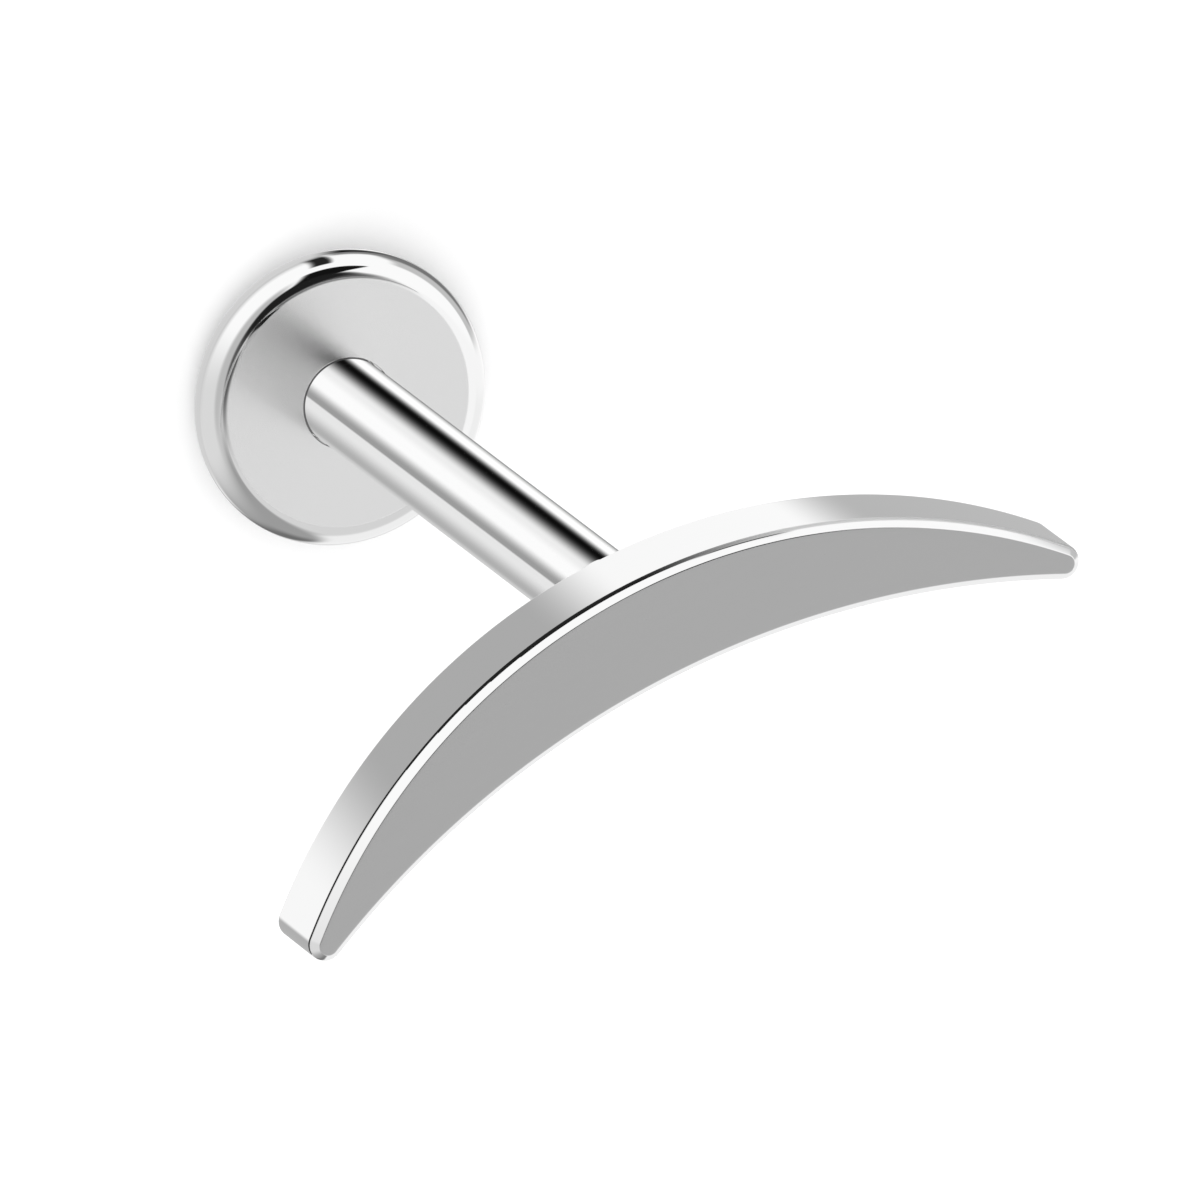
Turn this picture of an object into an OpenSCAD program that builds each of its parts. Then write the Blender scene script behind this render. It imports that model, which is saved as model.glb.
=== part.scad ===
// Labret stud: a flat back disc, a round post and a crescent-shaped top.
//
// The stud stands on its back disc. The origin is the centre of the disc's underside, +Z runs
// up the post, X lies along the crescent from tip to tip, and the crescent's hollow side
// faces +Y. All sizes are in millimetres.

/* [Back disc] */
// Diameter of the back disc
disc_d = 4; // [3.5:0.1:5]
// Thickness of the back disc
disc_t = 0.65; // [0.65:0.05:0.9]
// Radius of the rounded edge, a little under half the thickness
disc_edge_r = 0.32; // [0.1:0.01:0.32]

/* [Post] */
// Diameter of the post, 16 gauge
post_d = 1.2; // [1.1:0.05:1.6]
// Length of the post between the disc and the crescent
post_l = 10; // [6:0.5:12]
// Depth of the socket in the disc that holds the post's foot
seat_depth = 0.35; // [0.2:0.05:0.4]
// Chamfer on both ends of the post
post_chamfer = 0.05; // [0.02:0.01:0.1]

/* [Crescent top] */
// Span of the crescent from tip to tip
span = 11.4; // [9:0.1:13]
// Width of the crescent's band at its middle
band_w = 1.45; // [1.3:0.05:1.8]
// How far the tips reach past the middle line of the band
tip_reach = 2.03; // [1.8:0.01:2.6]
// Radius of the rounded tips
tip_r = 0.23; // [0.18:0.01:0.3]
// Thickness of the crescent plate
plate_t = 1.3; // [0.8:0.1:1.6]
// Bevel round the front edge of the plate
rim_bevel = 0.1; // [0.05:0.01:0.14]
// How far the band's middle line lies from the post's axis, towards the hollow side
band_shift = 0.1; // [0:0.05:0.2]

/* [Hidden pin] */
// Diameter of the pin on the back of the crescent
pin_d = 0.8; // [0.6:0.05:0.85]
// Length of the pin
pin_l = 2.5; // [1.5:0.1:3.5]

/* [Fits] */
// Gap all round a pin or foot and the hole that it sits in
fit_gap = 0.02; // [0.01:0.005:0.04]

/* [Hidden] */
$fn = 96;

// Heights up the post's axis
post_foot_z = disc_t - seat_depth + fit_gap;
plate_z = disc_t + post_l;
post_top_z = plate_z - fit_gap;
bore_depth = pin_l + fit_gap;

// The crescent lies between two circles. A small circle rounds each tip: it touches the
// outer circle from inside and the inner circle from outside. With the tip circle's centre
// at (tip_x, tip_y) from the middle of the band, each radius follows from those contacts.
half_band = band_w / 2;
tip_x = span / 2 - tip_r;
tip_y = tip_reach - tip_r;
outer_r = (tip_x^2 + (tip_y + half_band)^2 - tip_r^2) / (2 * (tip_y + half_band - tip_r));
inner_r = (tip_x^2 + (tip_y - half_band)^2 - tip_r^2) / (2 * (tip_y - half_band + tip_r));
outer_centre = [0, band_shift - half_band + outer_r];
inner_centre = [0, band_shift + half_band + inner_r];
tip_centre = [tip_x, band_shift + tip_y];

// Directions from the tip circle's centre to its two points of contact, and midway between
outer_way = (tip_centre - outer_centre) / norm(tip_centre - outer_centre);
inner_way = (inner_centre - tip_centre) / norm(inner_centre - tip_centre);
end_way = (outer_way + inner_way) / norm(outer_way + inner_way);

// Reach of the cutting shapes, well past the plate
past = 3;

// A solid of revolution whose outline steps in by a 45 degree chamfer at both ends
module chamfered_rod(r, low, high, chamfer) {
    rotate_extrude()
        polygon([
            [0, low],
            [r - chamfer, low],
            [r, low + chamfer],
            [r, high - chamfer],
            [r - chamfer, high],
            [0, high]
        ]);
}

// The outline of half of a disc with a rounded edge
module rounded_edge_profile(r, t, edge_r) {
    square([r - edge_r, t]);
    translate([0, edge_r])
        square([r, t - 2 * edge_r]);
    for (y = [edge_r, t - edge_r])
        translate([r - edge_r, y])
            circle(edge_r);
}

module back_disc() {
    color("lightgray")
        difference() {
            rotate_extrude()
                rounded_edge_profile(disc_d / 2, disc_t, disc_edge_r);
            translate([0, 0, disc_t - seat_depth])
                cylinder(h = seat_depth + past, r = post_d / 2 + fit_gap);
        }
}

module post() {
    color("gainsboro")
        difference() {
            chamfered_rod(post_d / 2, post_foot_z, post_top_z, post_chamfer);
            translate([0, 0, post_top_z - bore_depth])
                cylinder(h = bore_depth + past, r = pin_d / 2 + fit_gap);
        }
}

// The sector beyond the two contacts of a tip circle, where that circle is the outline
module tip_sector(low, high) {
    translate([0, 0, low])
        linear_extrude(height = high - low)
            polygon([
                tip_centre,
                tip_centre + past * outer_way,
                tip_centre + past * end_way,
                tip_centre + past * inner_way
            ]);
}

// A layer of the crescent. Its outline lies inset_low inside the full one at the bottom
// and inset_high inside it at the top.
module crescent_layer(low, high, inset_low, inset_high) {
    difference() {
        translate([outer_centre[0], outer_centre[1], low])
            cylinder(h = high - low, r1 = outer_r - inset_low, r2 = outer_r - inset_high);
        translate([inner_centre[0], inner_centre[1], low])
            cylinder(h = high - low, r1 = inner_r + inset_low, r2 = inner_r + inset_high);
        for (side = [0, 1])
            mirror([side, 0, 0])
                tip_sector(low - past, high + past);
    }
    for (side = [0, 1])
        mirror([side, 0, 0])
            intersection() {
                translate([tip_centre[0], tip_centre[1], low])
                    cylinder(h = high - low, r1 = tip_r - inset_low, r2 = tip_r - inset_high);
                tip_sector(low - past, high + past);
            }
}

module crescent_top() {
    rim_z = plate_z + plate_t - rim_bevel;
    color("darkgray") {
        crescent_layer(plate_z, rim_z, 0, 0);
        crescent_layer(rim_z, plate_z + plate_t, 0, rim_bevel);
        translate([0, 0, plate_z - pin_l])
            cylinder(h = pin_l + plate_t / 2, r = pin_d / 2);
    }
}

back_disc();
post();
crescent_top();
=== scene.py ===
# %% [markdown]
# # A flat-back labret stud
#
# The stud is three pieces of one pale metal: a flat back disc, a round post and a crescent
# plate across the post's end. Nearly all of it is mirror bright or fine satin, so the picture
# is made of two things: shapes whose edges are really rounded, and a studio worth reflecting.
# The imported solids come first. They say where each piece is, and nothing here moves them.

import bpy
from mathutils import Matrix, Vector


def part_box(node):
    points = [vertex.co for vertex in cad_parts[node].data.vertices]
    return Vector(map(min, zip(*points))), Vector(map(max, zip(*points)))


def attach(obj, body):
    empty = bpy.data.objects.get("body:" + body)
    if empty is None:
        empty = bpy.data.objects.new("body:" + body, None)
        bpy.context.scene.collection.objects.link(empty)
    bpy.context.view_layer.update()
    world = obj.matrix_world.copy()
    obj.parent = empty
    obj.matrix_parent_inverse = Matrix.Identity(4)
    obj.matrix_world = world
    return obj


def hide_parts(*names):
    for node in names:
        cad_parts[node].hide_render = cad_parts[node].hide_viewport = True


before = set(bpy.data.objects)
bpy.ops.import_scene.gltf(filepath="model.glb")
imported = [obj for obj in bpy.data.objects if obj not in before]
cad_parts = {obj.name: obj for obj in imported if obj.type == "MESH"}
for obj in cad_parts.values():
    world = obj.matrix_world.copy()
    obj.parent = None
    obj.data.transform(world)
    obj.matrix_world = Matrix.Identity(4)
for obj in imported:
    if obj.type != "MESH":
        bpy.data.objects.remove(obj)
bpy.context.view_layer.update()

# %% Tools and units
import math

import bmesh
import bpy
from mathutils import Matrix, Vector

scene = bpy.context.scene
mm = 0.001

# %% [markdown]
# ## Writing node trees as sums
#
# Finishes, shapes and lights below are all node trees. Wiring Math nodes by hand hides the
# formula, so one small class stands for a node's output. Adding or multiplying two of them
# puts the Math node in and links it, as raising or comparing them does, and `add` puts in any
# other kind of node.


# %% A wire that does arithmetic
def shown_socket(sockets, key):
    """Finds a socket by its number or its name among those that the node shows."""
    shown = [socket for socket in sockets if socket.enabled]
    if isinstance(key, int):
        return shown[key]
    return next(socket for socket in shown if socket.name == key)


class Wire:
    """One output in a node tree. Sums on it add Math nodes, and add() adds any other node."""

    def __init__(self, tree, socket=None):
        self.tree = tree
        self.socket = socket

    def add(self, kind, settings=None, sockets=None, output=0):
        """Adds a node, makes its settings, then fills its sockets with values or wires."""
        node = self.tree.nodes.new(kind)
        for name, value in (settings or {}).items():
            if name == "choices":  # an Index Switch starts with two of them
                while len(node.index_switch_items) < value:
                    node.index_switch_items.new()
            else:
                setattr(node, name, value)
        for name, value in (sockets or {}).items():
            self.fill(shown_socket(node.inputs, name), value)
        return Wire(self.tree, shown_socket(node.outputs, output) if node.outputs else None)

    def fill(self, socket, value):
        """Links a wire or a list of wires to a socket, or sets the socket's own value."""
        for one in value if isinstance(value, list) else [value]:
            if isinstance(one, Wire):
                self.tree.links.new(one.socket, socket)
            else:
                socket.default_value = one

    def math(self, operation, *values):
        return self.add("ShaderNodeMath", {"operation": operation}, dict(enumerate(values)))

    def __add__(self, other):
        return self.math("ADD", self, other)

    __radd__ = __add__

    def __sub__(self, other):
        return self.math("SUBTRACT", self, other)

    def __rsub__(self, other):
        return self.math("SUBTRACT", other, self)

    def __mul__(self, other):
        return self.math("MULTIPLY", self, other)

    __rmul__ = __mul__

    def __truediv__(self, other):
        return self.math("DIVIDE", self, other)

    def __rtruediv__(self, other):
        return self.math("DIVIDE", other, self)

    def __pow__(self, other):
        return self.math("POWER", self, other)

    def __rpow__(self, other):
        return self.math("POWER", other, self)

    def __gt__(self, other):
        return self.math("GREATER_THAN", self, other)

    def __lt__(self, other):
        return self.math("LESS_THAN", self, other)

    def __neg__(self):
        return self * -1


# %% Vectors, greys and a soft step
x_axis = (1.0, 0.0, 0.0)
y_axis = (0.0, 1.0, 0.0)
z_axis = (0.0, 0.0, 1.0)


def along(direction, axis):
    """How far a direction or a place reaches along an axis."""
    return direction.add(
        "ShaderNodeVectorMath", {"operation": "DOT_PRODUCT"}, {0: direction, 1: axis}, "Value"
    )


def length_of(vector):
    """How long a vector is. For a place, that is its distance from the origin."""
    return vector.add("ShaderNodeVectorMath", {"operation": "LENGTH"}, {0: vector}, "Value")


def stretched(vector, shares):
    """The vector with each axis multiplied by its own share."""
    return vector.add("ShaderNodeVectorMath", {"operation": "MULTIPLY"}, {0: vector, 1: shares})


def grey(lightness):
    """A colour without a hue."""
    return (lightness, lightness, lightness, 1.0)


def fade(value, start, end):
    """0 up to start and 1 from end on, with a soft step between. It may run downwards."""
    return value.add(
        "ShaderNodeMapRange",
        {"interpolation_type": "SMOOTHSTEP"},
        {"Value": value, "From Min": start, "From Max": end},
    )


# %% [markdown]
# ## The finishes, and painted light and shade
#
# All three pieces are titanium, in several finishes. Buffing on a cloth wheel leaves the
# post, the edges and the walls mirror bright, with a haze too faint to name. The disc's upper
# face was turned on a lathe and only lightly buffed, so it blurs what it reflects; its colour
# is set lighter than the metal's own, which is painted light. The crescent's face is brushed
# satin, which scatters light evenly; its colour is set darker than the metal's own, which is
# painted shade, so that it looks a flat middle grey. The post's foot inside its socket is
# painted nearly black, as shade for the gap round it, and a thin line along the crescent's
# outer shoulder is painted nearly black as a dark reflection, fading pale towards one tip.
# A real finish is cut by tools, so each bright one is a fine pattern of lines that runs the
# way the tool ran, and it moves the roughness and the normal a very little.


# %% A metal with a pattern in it
def bare_material(name):
    """A material whose node tree is empty, and a wire to start it from."""
    material = bpy.data.materials.new(name)
    material.use_nodes = True
    material.node_tree.nodes.clear()
    return material, Wire(material.node_tree)


def new_metal(name, color, pattern):
    """A metal of one colour or of color(place), with a pattern(place) of tool marks.

    The pattern gives the roughness, the shape of the marks and their depth.
    """
    material, root = bare_material(name)
    place = root.add("ShaderNodeTexCoord", output="Object")
    roughness, marks, depth = pattern(place)
    if callable(color):
        color = color(place)
    normal = root.add(
        "ShaderNodeBump", None, {"Strength": 1.0, "Distance": depth, "Height": marks}
    )
    shader = root.add(
        "ShaderNodeBsdfPrincipled",
        None,
        {
            "Base Color": color,
            "Metallic": 1.0,
            "Roughness": roughness,
            "Normal": normal,
        },
    )
    root.add("ShaderNodeOutputMaterial", None, {"Surface": shader})
    return material


def streaks(place, stretch, scale):
    """Fine noise drawn out into lines: stretch holds each axis's share of the scale."""
    drawn_out = stretched(place, stretch)
    return place.add(
        "ShaderNodeTexNoise", None, {"Vector": drawn_out, "Scale": scale, "Detail": 3.0}
    )


# %% Mirror polish
metal_lightness = 0.80
polish_lines = 30000.0  # lines in a metre, which is one each 0.03 mm
polish_depth = 0.00002 * mm
haze_patches = 700.0


def buffed(place):
    """Buffing lines run round the pieces, so they vary with height alone."""
    haze = place.add("ShaderNodeTexNoise", None, {"Vector": place, "Scale": haze_patches})
    lines = streaks(place, (0.02, 0.02, 1.0), polish_lines)
    return 0.025 + 0.03 * haze, lines, polish_depth


mirror_polish = new_metal("mirror_polish", grey(metal_lightness), buffed)


# %% Turned satin
turned_rings = 40000.0
turned_depth = 0.0001 * mm


def turned(place):
    """The lathe tool's rings vary with the distance from the axis alone."""
    distance = length_of(stretched(place, (1.0, 1.0, 0.0)))
    ring_place = place.add("ShaderNodeCombineXYZ", None, {"X": distance})
    rings = place.add(
        "ShaderNodeTexNoise", None, {"Vector": ring_place, "Scale": turned_rings, "Detail": 2.0}
    )
    return 0.24 + 0.05 * rings, rings, turned_depth


# its colour is set lighter than the metal's own: painted light on the disc's face
turned_satin_painted_light = new_metal("turned_satin_painted_light", grey(0.92), turned)


# %% Brushed satin
brush_lines = 45000.0
brush_depth = 0.0002 * mm


def brushed(place):
    """The brush ran from tip to tip, so its lines vary across the band and hardly along it."""
    lines = streaks(place, (0.03, 1.0, 1.0), brush_lines)
    return 0.26 + 0.06 * lines, lines, brush_depth


# its colour is set darker than the metal's own: painted shade on the crescent's face
brushed_satin_painted_shade = new_metal("brushed_satin_painted_shade", grey(0.53), brushed)


# %% Painted shade for the post's foot
cloud_scale = 9000.0
cloud_depth = 0.0002 * mm


def clouded(place):
    """Cloudy roughness for the parts painted dark."""
    clouds = place.add("ShaderNodeTexNoise", None, {"Vector": place, "Scale": cloud_scale})
    return 0.40 + 0.2 * clouds, clouds, cloud_depth


# nearly black: painted shade on the post's foot, for the shade in the gap of its socket
painted_socket_shade = new_metal("painted_socket_shade", grey(0.10), clouded)


# %% Painted dark reflection along the crescent's shoulder
reflection_dark = grey(0.015)
reflection_faded = grey(0.75)
reflection_fade_start = -0.2 * mm
reflection_fade_end = -2.6 * mm


def painted_reflection_tone(place):
    """Painted dark reflection: nearly black for most of the crescent, pale towards the tip at -X."""
    faded = fade(along(place, x_axis), reflection_fade_start, reflection_fade_end)
    return place.add(
        "ShaderNodeMix", {"data_type": "RGBA"}, {"Factor": faded, "A": reflection_dark, "B": reflection_faded}
    )


# a nearly black reflection painted along the shoulder, fading pale towards one tip
painted_shoulder_reflection = new_metal("painted_shoulder_reflection", painted_reflection_tone, clouded)
# some of these carry painted light, painted shade or a painted reflection in their colour
finishes_and_painted_light = (mirror_polish, turned_satin_painted_light, brushed_satin_painted_shade, painted_socket_shade, painted_shoulder_reflection)
print("finishes:", [finish.name for finish in finishes_and_painted_light])

# %% [markdown]
# ## Rounded corners and the lathe
#
# The disc, the post and the hidden pin are turned parts: each is the outline of one half,
# swung once round the axis. Blender's Screw modifier could do that, but a node tree keeps
# the outline's sizes as named inputs and rounds each corner by its own radius. A mirror
# shows every corner, and no real corner is sharp. Where a rounding meets a flat that shows,
# the outline has a guard point a hair further on, which keeps the flat flat when it is shaded
# smooth.


# %% Start and end a tree
def new_tree(name, inputs):
    """A Geometry Nodes tree with named inputs, and a wire for each of them."""
    tree = bpy.data.node_groups.new(name, "GeometryNodeTree")
    tree.interface.new_socket("Geometry", in_out="OUTPUT", socket_type="NodeSocketGeometry")
    for title, kind in inputs.items():
        tree.interface.new_socket(title, in_out="INPUT", socket_type=kind)
    entry = tree.nodes.new("NodeGroupInput")
    return Wire(tree), {title: Wire(tree, entry.outputs[title]) for title in inputs}


def end_tree(shape, finish, patches=()):
    """Realizes the shape and sets its finish, then another material on each patch, some with painted
    light or shade.
    """
    shape = shape.add("GeometryNodeSetShadeSmooth", None, {"Geometry": shape})
    shape = shape.add("GeometryNodeRealizeInstances", None, {"Geometry": shape})
    shape = shape.add("GeometryNodeSetMaterial", None, {"Geometry": shape, "Material": finish})
    for where, other in patches:
        shape = shape.add(
            "GeometryNodeSetMaterial",
            None,
            {"Geometry": shape, "Selection": where, "Material": other},
        )
    shape.add("NodeGroupOutput", None, {"Geometry": shape})


# %% An outline with rounded corners
def rounded_outline(root, corners, steps):
    """A curve through corners of (distance out, height, rounding). The lathe wants height as -Y."""
    number = root.add("GeometryNodeInputIndex")
    places = {"Index": number}
    roundings = {"Index": number}
    for order, (out, height, rounding) in enumerate(corners):
        places[str(order)] = root.add("ShaderNodeCombineXYZ", None, {"X": out, "Y": -height})
        roundings[str(order)] = rounding
    count = len(corners)
    place = root.add(
        "GeometryNodeIndexSwitch", {"data_type": "VECTOR", "choices": count}, places
    )
    rounding = root.add(
        "GeometryNodeIndexSwitch", {"data_type": "FLOAT", "choices": count}, roundings
    )
    line = root.add("GeometryNodeMeshLine", None, {"Count": count})
    line = root.add("GeometryNodeSetPosition", None, {"Geometry": line, "Position": place})
    line = root.add("GeometryNodeMeshToCurve", None, {"Mesh": line})
    return root.add(
        "GeometryNodeFilletCurve",
        {"mode": "POLY"},
        {"Curve": line, "Count": steps, "Radius": rounding, "Limit Radius": False},
    )


# %% The lathe
hub = 1.0 * mm  # the swept ring needs some size, so the outline starts that far inside it
weld = 0.0001 * mm

lathe, lathe_in = new_tree("lathe", {"Outline": "NodeSocketGeometry", "Segments": "NodeSocketInt"})
ring = lathe.add(
    "GeometryNodeCurvePrimitiveCircle", None, {"Resolution": lathe_in["Segments"], "Radius": hub}
)
ring = lathe.add("GeometryNodeSetCurveNormal", {"mode": "Z_UP"}, {"Curve": ring})
pulled_in = lathe.add(
    "GeometryNodeTransform",
    None,
    {"Geometry": lathe_in["Outline"], "Translation": (-hub, 0.0, 0.0)},
)
turned_shell = lathe.add(
    "GeometryNodeCurveToMesh", None, {"Curve": ring, "Profile Curve": pulled_in}
)
welded = lathe.add("GeometryNodeMergeByDistance", None, {"Geometry": turned_shell, "Distance": weld})
lathe.add("NodeGroupOutput", None, {"Geometry": welded})


def turn(outline, segments):
    """Swings an outline once round the Z axis."""
    return outline.add(
        "GeometryNodeGroup",
        {"node_tree": lathe.tree},
        {"Outline": outline, "Segments": segments},
    )


# %% From a tree to a plain mesh
pieces = []


def make_piece(name, root, sizes):
    """Runs a tree with these sizes and keeps the result as a plain mesh that faces outwards."""
    piece = bpy.data.objects.new(name, bpy.data.meshes.new(name + "_blank"))
    scene.collection.objects.link(piece)
    modifier = piece.modifiers.new("Shape", "NODES")
    modifier.node_group = root.tree
    for item in root.tree.interface.items_tree:
        if item.in_out == "INPUT":
            modifier[item.identifier] = sizes[item.name]
    evaluated = piece.evaluated_get(bpy.context.evaluated_depsgraph_get())
    mesh = bpy.data.meshes.new_from_object(evaluated)
    piece.modifiers.remove(modifier)
    piece.data = mesh
    mesh.name = name
    while mesh.materials[0] is None:  # slots that no face uses
        mesh.materials.pop(index=0)
    work = bmesh.new()
    work.from_mesh(mesh)
    bmesh.ops.recalc_face_normals(work, faces=work.faces)
    open_edges = sum(len(edge.link_faces) != 2 for edge in work.edges)
    volume = work.calc_volume()
    work.to_mesh(mesh)
    work.free()
    pieces.append(piece)
    print(name, "faces", len(mesh.polygons), "open edges", open_edges, "mm3", round(volume / mm**3, 3))
    return piece


# %% [markdown]
# ## The back disc
#
# The flat back is a 4 mm disc cut from bar, with its edge rounded almost to a half circle so
# that it lies softly against the skin. A shallow socket in its upper face takes the post's
# foot. The socket's mouth is broken by a tiny radius. The dark ring round the foot is that
# mouth, the gap inside it and the foot, which is painted nearly black as shade in the gap.

# %% Turn the disc
disc_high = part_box("back_disc")[1]
post_low, post_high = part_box("post")
fit_gap = 0.02 * mm
guard = 0.02 * mm

disc_sizes = {
    "Radius": disc_high.x,
    "Thickness": disc_high.z,
    "Edge rounding": 0.32 * mm,
    "Socket radius": post_high.x + fit_gap,
    "Socket floor": post_low.z - fit_gap,
    "Mouth rounding": 0.012 * mm,
    "Guard": guard,
}
root, size = new_tree("flat_back", dict.fromkeys(disc_sizes, "NodeSocketFloat"))
flat_edge = size["Radius"] - size["Edge rounding"] - size["Guard"]
mouth_edge = size["Socket radius"] + size["Mouth rounding"] + size["Guard"]
disc_outline = rounded_outline(
    root,
    [
        (0.0, 0.0, 0.0),
        (flat_edge, 0.0, 0.0),
        (size["Radius"], 0.0, size["Edge rounding"]),
        (size["Radius"], size["Thickness"], size["Edge rounding"]),
        (flat_edge, size["Thickness"], 0.0),
        (mouth_edge, size["Thickness"], 0.0),
        (size["Socket radius"], size["Thickness"], size["Mouth rounding"]),
        (size["Socket radius"], size["Socket floor"], size["Mouth rounding"]),
        (0.0, size["Socket floor"], 0.0),
    ],
    steps=24,
)
height = along(root.add("GeometryNodeInputPosition"), z_axis)
upper_face = height > size["Thickness"] - weld
end_tree(turn(disc_outline, segments=256), mirror_polish, [(upper_face, turned_satin_painted_light)])
flat_back = make_piece("flat_back", root, disc_sizes)

# %% [markdown]
# ## The post
#
# The post is a 16 gauge bar, 1.2 mm thick, with a small chamfer on both ends. Its foot
# stands in the disc's socket and its top is bored for the crescent's pin. Both ends are
# hidden once the stud is together, and they are still made, because the meshes are used on
# their own as well. The outline has an extra ring level with the disc's face, so that the
# painted shade on the foot can end exactly there.

# %% Turn the post
crescent_low, crescent_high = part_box("crescent_top")
plate_thickness = 1.3 * mm
plate_underside = crescent_high.z - plate_thickness
pin_radius = 0.4 * mm
pin_length = plate_underside - crescent_low.z

post_sizes = {
    "Radius": post_high.x,
    "Foot": post_low.z,
    "Face of the disc": disc_high.z,
    "Top": post_high.z,
    "Chamfer": 0.05 * mm,
    "Chamfer rounding": 0.015 * mm,
    "Bore radius": pin_radius + fit_gap,
    "Bore floor": post_high.z - pin_length - fit_gap,
    "Guard": guard,
}
root, size = new_tree("post_bar", dict.fromkeys(post_sizes, "NodeSocketFloat"))
shoulder = size["Radius"] - size["Chamfer"]
post_outline = rounded_outline(
    root,
    [
        (0.0, size["Foot"], 0.0),
        (shoulder - size["Guard"], size["Foot"], 0.0),
        (shoulder, size["Foot"], size["Chamfer rounding"]),
        (size["Radius"], size["Foot"] + size["Chamfer"], size["Chamfer rounding"]),
        (size["Radius"], size["Foot"] + size["Chamfer"] + size["Guard"], 0.0),
        (size["Radius"], size["Face of the disc"], 0.0),
        (size["Radius"], size["Top"] - size["Chamfer"] - size["Guard"], 0.0),
        (size["Radius"], size["Top"] - size["Chamfer"], size["Chamfer rounding"]),
        (shoulder, size["Top"], size["Chamfer rounding"]),
        (size["Bore radius"] + size["Guard"], size["Top"], 0.0),
        (size["Bore radius"], size["Top"], size["Chamfer rounding"]),
        (size["Bore radius"], size["Bore floor"], size["Chamfer rounding"]),
        (0.0, size["Bore floor"], 0.0),
    ],
    steps=8,
)
height = along(root.add("GeometryNodeInputPosition"), z_axis)
# the foot inside the socket is painted nearly black, as shade
in_socket = height < size["Face of the disc"]
end_tree(turn(post_outline, segments=192), mirror_polish, [(in_socket, painted_socket_shade)])
post_bar = make_piece("post_bar", root, post_sizes)

# %% [markdown]
# ## The crescent plate
#
# The crescent is cut from 1.3 mm plate. Its outline is four arcs that run into each other
# without a corner: the long outer side, the hollow inner side and a small arc round each
# tip. The arcs come from the same sizes as the solid's, so the outline is exact. The edge is
# one section swept round that outline: a tiny rounding at the back, the upright wall, a soft
# shoulder, and a 45 degree bevel that runs into the face. A Bevel modifier could cut such an
# edge from a plain plate, but its corners would have one radius, and here the shoulder is
# soft and the face's edge is crisp. Where the section ends, the face and the back are
# filled, and the back is filled round the pin, as solder would join it. The dark line takes
# the lower part of the shoulder's rounding, on the outer side alone: the faces at that
# height that lie outside the circle on which the bevel ends.
# The dark line is painted on, as a dark reflection.

# %% Sizes of the crescent
band_shift = 0.1 * mm
crescent_sizes = {
    "Span": crescent_high.x - crescent_low.x,
    "Band width": 1.45 * mm,
    "Band shift": band_shift,
    "Tip reach": crescent_high.y - band_shift,
    "Tip radius": 0.23 * mm,
    "Underside": plate_underside,
    "Face": crescent_high.z,
    "Bevel": 0.1 * mm,
    "Back rounding": 0.03 * mm,
    "Shoulder rounding": 0.12 * mm,
    "Face rounding": 0.02 * mm,
    "Guard": guard,
    "Pin radius": pin_radius,
    "Pin end": crescent_low.z,
}
root, size = new_tree("crescent", dict.fromkeys(crescent_sizes, "NodeSocketFloat"))
half_band = size["Band width"] / 2
tip_radius = size["Tip radius"]
tip_x = size["Span"] / 2 - tip_radius
tip_y = size["Tip reach"] - tip_radius
outer_rise = tip_y + half_band
inner_rise = tip_y - half_band
tip_square = tip_x * tip_x - tip_radius * tip_radius
outer_radius = (tip_square + outer_rise * outer_rise) / (2 * (outer_rise - tip_radius))
inner_radius = (tip_square + inner_rise * inner_rise) / (2 * (inner_rise + tip_radius))


# %% The outline, four arcs joined
def arc(centre, radius, start, sweep, steps):
    """An arc about a centre, from an angle and through an angle."""
    bow = root.add(
        "GeometryNodeCurveArc",
        {"mode": "RADIUS"},
        {"Resolution": steps, "Radius": radius, "Start Angle": start, "Sweep Angle": sweep},
    )
    where = root.add("ShaderNodeCombineXYZ", None, {"X": centre[0], "Y": centre[1]})
    return root.add("GeometryNodeTransform", None, {"Geometry": bow, "Translation": where})


tip_centre_y = size["Band shift"] + tip_y
outer_centre = (0.0, size["Band shift"] - half_band + outer_radius)
inner_centre = (0.0, size["Band shift"] + half_band + inner_radius)
outer_way = tip_x.math("ARCTAN2", tip_centre_y - outer_centre[1], tip_x)
inner_way = tip_x.math("ARCTAN2", inner_centre[1] - tip_centre_y, -tip_x)
tip_sweep = inner_way - outer_way
arcs = [
    arc(outer_centre, outer_radius, -math.pi - outer_way, math.pi + 2 * outer_way, steps=200),
    arc((tip_x, tip_centre_y), tip_radius, outer_way, tip_sweep, steps=48),
    arc(inner_centre, inner_radius, inner_way - math.pi, math.pi - 2 * inner_way, steps=150),
    arc((-tip_x, tip_centre_y), tip_radius, math.pi - inner_way, tip_sweep, steps=48),
]
joined_arcs = root.add("GeometryNodeJoinGeometry", None, {"Geometry": arcs})
loop = root.add("GeometryNodeCurveToMesh", None, {"Curve": joined_arcs})
loop = root.add("GeometryNodeMergeByDistance", None, {"Geometry": loop, "Distance": weld})
loop = root.add("GeometryNodeMeshToCurve", None, {"Mesh": loop})
loop = root.add("GeometryNodeSetCurveNormal", {"mode": "Z_UP"}, {"Curve": loop})

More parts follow.
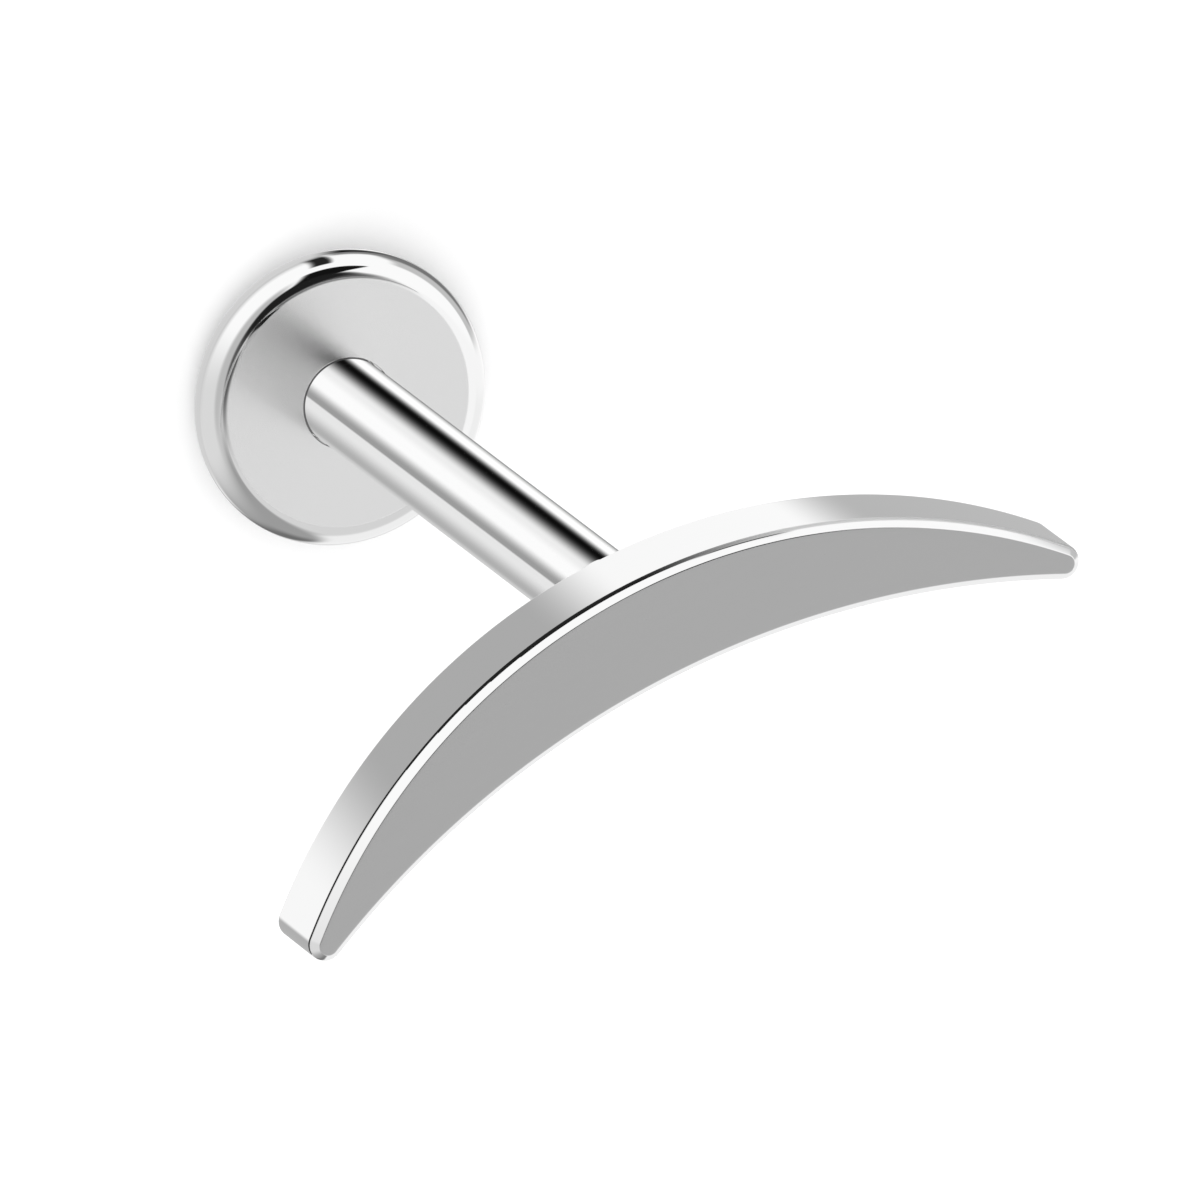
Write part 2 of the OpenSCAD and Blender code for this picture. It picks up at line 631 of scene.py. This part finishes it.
# %% The edge section and the pin
shoulder_height = size["Face"] - size["Bevel"]
edge_section = rounded_outline(
    root,
    [
        (-size["Back rounding"] - size["Guard"], size["Underside"], 0.0),
        (0.0, size["Underside"], size["Back rounding"]),
        (0.0, size["Underside"] + size["Back rounding"] + size["Guard"], 0.0),
        (0.0, shoulder_height - size["Shoulder rounding"] / 2 - size["Guard"], 0.0),
        (0.0, shoulder_height, size["Shoulder rounding"]),
        (-size["Bevel"], size["Face"], size["Face rounding"]),
        (-size["Bevel"] - size["Face rounding"] - size["Guard"], size["Face"], 0.0),
    ],
    steps=12,
)
edge_shell = root.add(
    "GeometryNodeCurveToMesh", None, {"Curve": loop, "Profile Curve": edge_section}
)
pin_outline = rounded_outline(
    root,
    [
        (0.0, size["Pin end"], 0.0),
        (size["Pin radius"], size["Pin end"], size["Back rounding"]),
        (size["Pin radius"], size["Underside"], 0.0),
    ],
    steps=12,
)
pin_shell = turn(pin_outline, segments=64)
shells = root.add("GeometryNodeJoinGeometry", None, {"Geometry": [edge_shell, pin_shell]})
shells = root.add("GeometryNodeMergeByDistance", None, {"Geometry": shells, "Distance": weld})

# %% Fill the face and the back
position = root.add("GeometryNodeInputPosition")
height = along(position, z_axis)
open_edge = 2 - root.add("GeometryNodeInputMeshEdgeNeighbors")
above_middle = height > (size["Underside"] + size["Face"]) / 2
caps = []
for side, level in ((above_middle, size["Face"]), (1 - above_middle, size["Underside"])):
    rim = root.add("GeometryNodeMeshToCurve", None, {"Mesh": shells, "Selection": open_edge * side})
    cap = root.add("GeometryNodeFillCurve", {"mode": "TRIANGLES"}, {"Curve": rim})
    lift = root.add("ShaderNodeCombineXYZ", None, {"Z": level})
    caps.append(root.add("GeometryNodeTransform", None, {"Geometry": cap, "Translation": lift}))
whole = root.add("GeometryNodeJoinGeometry", None, {"Geometry": [shells, *caps]})
whole = root.add("GeometryNodeMergeByDistance", None, {"Geometry": whole, "Distance": weld})

# %% The strip of the shoulder with the painted dark reflection, and the finishes
line_foot = 0.03  # heights as shares of the shoulder's rounding, from where it starts to turn
line_top_narrow = 0.34
line_top_wide = 0.60
narrow_beyond = 4.0 * mm
wide_before = 1.2 * mm

across = along(position, x_axis)
inwards = along(position, y_axis) - outer_centre[1]
bevel_circle = outer_radius - size["Bevel"]
outer_side = across * across + inwards * inwards > bevel_circle * bevel_circle
half_turn = math.radians(45.0) / 2
turn_start = shoulder_height - math.tan(half_turn) * size["Shoulder rounding"]
widened = fade(across, narrow_beyond, wide_before)
line_top = line_top_narrow + (line_top_wide - line_top_narrow) * widened
above_foot = height > turn_start + line_foot * size["Shoulder rounding"]
below_top = height < turn_start + line_top * size["Shoulder rounding"]
# the strip of the outer shoulder where the dark reflection is painted
painted_reflection_here = outer_side * above_foot * below_top
front_face = height > size["Face"] - weld
end_tree(whole, mirror_polish, [(front_face, brushed_satin_painted_shade), (painted_reflection_here, painted_shoulder_reflection)])
crescent = make_piece("crescent", root, crescent_sizes)

# %% [markdown]
# ## Handing the pieces over
#
# Each piece stands for one solid of the frame, which is hidden, and rides on the one body
# there is.

# %% Replace the solids
for piece, node in ((flat_back, "back_disc"), (post_bar, "post"), (crescent, "crescent_top")):
    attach(piece, "root")
    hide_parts(node)
    print(piece.name, "replaces", node)

# %% [markdown]
# ## The camera
#
# The stud stands on its back disc, and the picture looks down past the crescent's face. The
# camera is far off with a long lens, as for jewellery, so that its view is almost parallel.
# It also leans a long way over, which lays the post across the picture.

# %% Place the camera
view_azimuth = math.radians(27.79)  # from -Y towards +X
view_elevation = math.radians(64.40)
view_roll = math.radians(127.22)
view_distance = 700.0 * mm
frame_width = 15.617 * mm
aim = Vector((-0.916, 1.860, 6.0)) * mm

back = Vector(
    (
        math.sin(view_azimuth) * math.cos(view_elevation),
        -math.cos(view_azimuth) * math.cos(view_elevation),
        math.sin(view_elevation),
    )
)
right = Vector((math.cos(view_azimuth), math.sin(view_azimuth), 0.0))
right.rotate(Matrix.Rotation(view_roll, 3, back))
lens = bpy.data.cameras.new("camera")
camera = bpy.data.objects.new("camera", lens)
scene.collection.objects.link(camera)
camera.matrix_world = Matrix.Translation(aim + back * view_distance) @ Matrix(
    (right, back.cross(right), back)
).transposed().to_4x4()
lens.sensor_width = 36.0
lens.lens = lens.sensor_width * view_distance / frame_width
scene.camera = camera
print("lens, in mm:", round(lens.lens))

# %% [markdown]
# ## The floor
#
# The floor is plain near-white paper, lit by the whole sky and one large soft lamp, so that a
# faint shadow shows where the disc stands. The metal must not mirror the paper, or it would
# lose every dark line that makes it look like metal. The floor is therefore hidden from
# mirrored rays, and the tent and cards of the next steps are there in its place. The disc is
# hidden from them too, so that the streaks on the post run unbroken down to its foot.

# %% Paper floor
floor_half = 600.0 * mm
floor_drop = 0.001 * mm


def flat_card(name, corners):
    """A flat sheet with these corners, which is part of the studio."""
    mesh = bpy.data.meshes.new(name)
    mesh.from_pydata(corners, [], [range(len(corners))])
    card = bpy.data.objects.new(name, mesh)
    scene.collection.objects.link(card)
    return card


def level_corners(half, height):
    """The corners of a level square round the axis."""
    return [(x * half, y * half, height) for x, y in ((-1, -1), (1, -1), (1, 1), (-1, 1))]


floor = flat_card("floor", level_corners(floor_half, -floor_drop))
floor.visible_glossy = False
flat_back.visible_glossy = False
paper = bpy.data.materials.new("paper")
paper.use_nodes = True
paper_shader = paper.node_tree.nodes["Principled BSDF"]
paper_shader.inputs["Base Color"].default_value = grey(0.96)
paper_shader.inputs["Roughness"].default_value = 1.0
paper_shader.inputs["Specular IOR Level"].default_value = 0.0
floor.data.materials.append(paper)
print("floor, in mm:", round(2 * floor_half / mm))

# %% Soft lamp
lamp_data = bpy.data.lights.new("soft_lamp", "AREA")
lamp_data.shape = "SQUARE"
lamp_data.size = 400.0 * mm
lamp_data.energy = 0.8
lamp = bpy.data.objects.new("soft_lamp", lamp_data)
lamp.location = Vector((250.0, 200.0, 520.0)) * mm
lamp.rotation_euler = lamp.location.to_track_quat("Z", "Y").to_euler()
lamp.visible_glossy = False
scene.collection.objects.link(lamp)
print("lamp, in mm from the stud:", round(lamp.location.length / mm))

# %% [markdown]
# ## The studio that the metal sees
#
# Polished metal has no look of its own: it shows the room. Jewellery is pictured in a white
# tent, with black and grey cards round it that draw dark lines down the metal. Here the tent
# is the world, painted by direction and seen by mirrored rays alone. A bearing is the angle
# round the stud from the camera's side, positive towards +X, and a height is the angle above
# the horizon. Each card has four bearings and four heights: where it starts to show, where
# it is full, where it stops being full, and where it ends. A level is the shade that bright
# metal shows on screen when it mirrors that card, from 0 to 1. A limit past 180 degrees, or
# past 90 for a height, is never reached, so the card has no edge there. Cards later in a list
# hang in front of those before them.

# %% Bearings and soft-edged cards
scene.view_settings.view_transform = "Standard"  # it shows every level as it is
screen_gamma = 2.2
camera_side = (math.sin(view_azimuth), -math.cos(view_azimuth), 0.0)
left_side = (math.cos(view_azimuth), math.sin(view_azimuth), 0.0)


def bearing_of(direction):
    """The angle round the stud in degrees, from the camera's side."""
    turn_angle = direction.math("ARCTAN2", along(direction, left_side), along(direction, camera_side))
    return turn_angle * math.degrees(1.0)


def between(value, limits):
    """1 between the two inner limits, 0 outside the two outer ones."""
    start, full, last, end = limits
    return fade(value, start, full) * fade(value, end, last)


def hang_cards(level, first, second, cards):
    """Hangs cards in front of what is there, each as (level, first limits, second limits)."""
    for card_level, first_limits, second_limits in cards:
        mask = between(first, first_limits) * between(second, second_limits)
        level = level + (card_level - level) * mask
    return level


def glow(level):
    """The radiance that makes bright metal show this level on screen."""
    return level**screen_gamma / metal_lightness


# %% Cards round the sides of the tent
to_back = (181.0, 182.0)
from_back = (-182.0, -181.0)
to_top = (90.0, 91.0)
from_bottom = (-91.0, -90.0)
side_cards = [
    # pale side wall, grey further round, and its dark foot
    (0.84, (2.0, 45.0, *to_back), (-58.0, -44.0, *to_top)),
    (0.60, (78.0, 122.0, *to_back), (-46.0, -34.0, 60.0, 80.0)),
    (0.42, (116.0, 132.0, 142.0, 152.0), (-62.0, -50.0, -20.0, 10.0)),
    # paper low down in front
    (0.80, (-75.0, -45.0, 45.0, 75.0), (-60.0, -52.0, -34.0, -10.0)),
    # dim floor to the other side
    (0.45, (-160.0, -130.0, -98.0, -84.0), (-62.0, -54.0, -26.0, -6.0)),
    (0.74, (-150.0, -140.0, -98.0, -90.0), (-30.0, -14.0, 2.0, 12.0)),
    (0.50, (-104.0, -96.0, -70.0, -62.0), (-58.0, -50.0, -32.0, -20.0)),
]

# %% Cards deep down in the tent
deep = (*from_bottom, -60.0, -55.0)
deep_cards = [
    # greys on both sides of the white that lights the post's middle
    (0.92, (-80.0, -70.0, -32.0, -8.0), deep),
    (0.89, (47.0, 54.0, *to_back), deep),
    (0.66, (66.0, 122.0, *to_back), deep),
    (0.75, (128.0, 150.0, *to_back), deep),
    # grey card, whose far edge is sharp
    (0.60, (10.0, 41.0, 47.0, 53.0), (*from_bottom, -58.0, -48.0)),
    # black card, with soft edges
    (0.08, (-112.0, -82.0, -80.0, -33.0), (*from_bottom, -46.0, -38.0)),
    # dark corner behind
    (0.42, (-200.0, -190.0, -178.0, -124.0), deep),
]

# %% Cards high up and behind, hung last
last_cards = [
    # black card high up beside the camera, which the disc's rim shows
    (0.10, (-88.0, -85.0, -54.0, -44.0), (36.0, 40.0, 66.0, 78.0)),
    # black pole under it
    (0.16, (-64.0, -59.0, -54.0, -48.0), (-55.0, -45.0, 12.0, 18.0)),
    # pale panel behind, a little lighter on one half
    (0.82, (136.0, 148.0, *to_back), (-56.0, -44.0, *to_top)),
    (0.96, (*from_back, -148.0, -136.0), (-56.0, -44.0, *to_top)),
    # the panel's brighter foot
    (0.93, (138.0, 146.0, *to_back), (-42.0, -34.0, 20.0, 35.0)),
    (0.93, (*from_back, -162.0, -154.0), (-42.0, -34.0, 20.0, 35.0)),
    # grey ceiling in front
    (0.72, (-50.0, -30.0, 60.0, 120.0), (38.0, 56.0, *to_top)),
]
tent_cards = side_cards + deep_cards + last_cards
print("cards in the tent:", len(tent_cards))

# %% The look, as a bearing and a height
world = bpy.data.worlds.new("studio")
scene.world = world
world.use_nodes = True
world.node_tree.nodes.clear()
world.cycles.sampling_method = "NONE"
root = Wire(world.node_tree)
look = root.add("ShaderNodeTexCoord", output="Generated")
up = along(look, z_axis)
height_angle = up.math("ARCSINE", up) * math.degrees(1.0)


def angle_from(way_bearing, way_height):
    """The angle in degrees between the look and one way out of the tent."""
    flat = math.cos(math.radians(way_height))
    ahead = flat * math.cos(math.radians(way_bearing))
    sideways = flat * math.sin(math.radians(way_bearing))
    way = Vector(camera_side) * ahead + Vector(left_side) * sideways
    way.z = math.sin(math.radians(way_height))
    near = along(look, tuple(way))
    return near.math("ARCCOSINE", near.math("MINIMUM", near, 1.0)) * math.degrees(1.0)


# %% The tent
bare_tent = 0.98
tent = hang_cards(bare_tent, bearing_of(look), height_angle, tent_cards)

# a dim round patch overhead, and a black one beside it: level, bearing, height, and the angles
# from its middle at which it ends and at which it is full
for level, way_bearing, way_height, rim_angle, full_angle in (
    (0.34, -120.0, 84.0, 23.0, 14.0),
    (0.14, -70.0, 76.0, 19.0, 12.0),
):
    tent = tent + (level - tent) * fade(angle_from(way_bearing, way_height), rim_angle, full_angle)


def white_glow(strength):
    """White light of this strength from all over the tent."""
    return root.add("ShaderNodeBackground", None, {"Color": grey(1.0), "Strength": strength})


plain_light = white_glow(1.06)
for_camera = white_glow(1.0)
for_metal = white_glow(glow(tent))
ray_camera = root.add("ShaderNodeLightPath", output="Is Camera Ray")
ray_glossy = root.add("ShaderNodeLightPath", output="Is Glossy Ray")
seen = root.add("ShaderNodeMixShader", None, {0: ray_camera, 1: plain_light, 2: for_camera})
seen = root.add("ShaderNodeMixShader", None, {0: ray_glossy, 1: seen, 2: for_metal})
root.add("ShaderNodeOutputWorld", None, {"Surface": seen})
print("nodes in the tent:", len(world.node_tree.nodes))

# %% [markdown]
# ## Cards close to the stud
#
# A card painted on the tent is endlessly far off, so every wall that faces one way shows the
# same shade. The crescent's walls and the disc's rim need shades of their own, and get real
# cards nearby, seen by mirrored rays alone. The ground card lies just above the disc and
# faces up, for the crescent's walls. The shade card lies on the paper under the disc's rim.
# Neither is meant for the post, whose rays first cross a clear sleeve. Cycles counts the
# clear surfaces that a ray has crossed, so the ground card can tell such rays and keep out of
# their way. The shade card shows only to rays that start very close to it.

# %% Cards that only the metal sees
def for_mirrors_only(card, material):
    """Gives a card its material, and hides the card from all rays but mirrored ones."""
    card.data.materials.append(material)
    card.visible_camera = False
    card.visible_diffuse = False
    card.visible_transmission = False
    card.visible_volume_scatter = False
    card.visible_shadow = False
    material.cycles.emission_sampling = "NONE"


def end_card(root, shown, level):
    """Shows a level where the mask is 1, and nothing where it is 0."""
    clear = root.add("ShaderNodeBsdfTransparent")
    lit = root.add("ShaderNodeEmission", None, {"Strength": glow(level)})
    cover = root.add("ShaderNodeMixShader", None, {0: shown, 1: clear, 2: lit})
    root.add("ShaderNodeOutputMaterial", None, {"Surface": cover})


# %% A clear sleeve round the post
sleeve_low = disc_high.z + guard
sleeve_high = plate_underside - guard
work = bmesh.new()
bmesh.ops.create_cone(
    work,
    cap_ends=False,
    segments=96,
    radius1=post_high.x + guard,
    radius2=post_high.x + guard,
    depth=sleeve_high - sleeve_low,
    matrix=Matrix.Translation((0.0, 0.0, (sleeve_low + sleeve_high) / 2)),
)
sleeve_mesh = bpy.data.meshes.new("clear_sleeve")
work.to_mesh(sleeve_mesh)
work.free()
sleeve = bpy.data.objects.new("clear_sleeve", sleeve_mesh)
scene.collection.objects.link(sleeve)
clear_film, root = bare_material("clear_film")
film_shader = root.add("ShaderNodeBsdfTransparent")
root.add("ShaderNodeOutputMaterial", None, {"Surface": film_shader})
for_mirrors_only(sleeve, clear_film)
print("sleeve, in mm:", round(sleeve_low / mm, 2), "to", round(sleeve_high / mm, 2))

# %% Ground card
ground_height = 0.8 * mm
ground_extent = (1.0, 1.2, 13.0, 17.0)  # distances in mm, of which the last is the card's half
ground_card = flat_card("ground_card", level_corners(ground_extent[-1] * mm, ground_height))
ground, root = bare_material("ground_card")
place = root.add("ShaderNodeTexCoord", output="Object")
reach = length_of(place) / mm
all_along = (0.0, 1.0, 18.0, 19.0)
close_in = (0.0, 1.0, 11.7, 13.5)
bare_ground = 0.96
ground_level = hang_cards(
    bare_ground,
    bearing_of(place),
    reach,
    [
        # grey paper under the crescent's outer wall
        (0.655, (-53.0, -25.0, 28.0, 54.0), all_along),
        # grey at both tips
        (0.67, (62.0, 75.0, 180.0, 181.0), close_in),
        (0.69, (-181.0, -180.0, -112.0, -98.0), close_in),
    ],
)
from_below = root.add("ShaderNodeNewGeometry", output="Backfacing")
crossed = root.add("ShaderNodeLightPath", output="Transparent Depth")
shown = between(reach, ground_extent) * (1 - from_below) * (1 - (crossed > 0.5))
end_card(root, shown, ground_level)
for_mirrors_only(ground_card, ground)
print("ground card, in mm:", 2 * ground_extent[-1])

# %% Shade on the paper round the disc
shade_half = 5.0 * mm
shade_drop = 0.01 * mm
shade_bearings = (-55.0, -40.0, 65.0, 85.0)
shade_reach = (1.4, 1.6, 2.3, 2.9)
shade_level = 0.80
seen_from = 1.1  # in mm, the longest ray that sees all of the shade
lost_from = 1.6

shade_card = flat_card("shade_card", level_corners(shade_half, -shade_drop))
shade, root = bare_material("rim_shade")
place = root.add("ShaderNodeTexCoord", output="Object")
ray_length = root.add("ShaderNodeLightPath", output="Ray Length") / mm
shown = between(bearing_of(place), shade_bearings) * between(length_of(place) / mm, shade_reach)
end_card(root, shown * fade(ray_length, lost_from, seen_from), shade_level)
for_mirrors_only(shade_card, shade)
print("shade card, in mm:", round(2 * shade_half / mm))
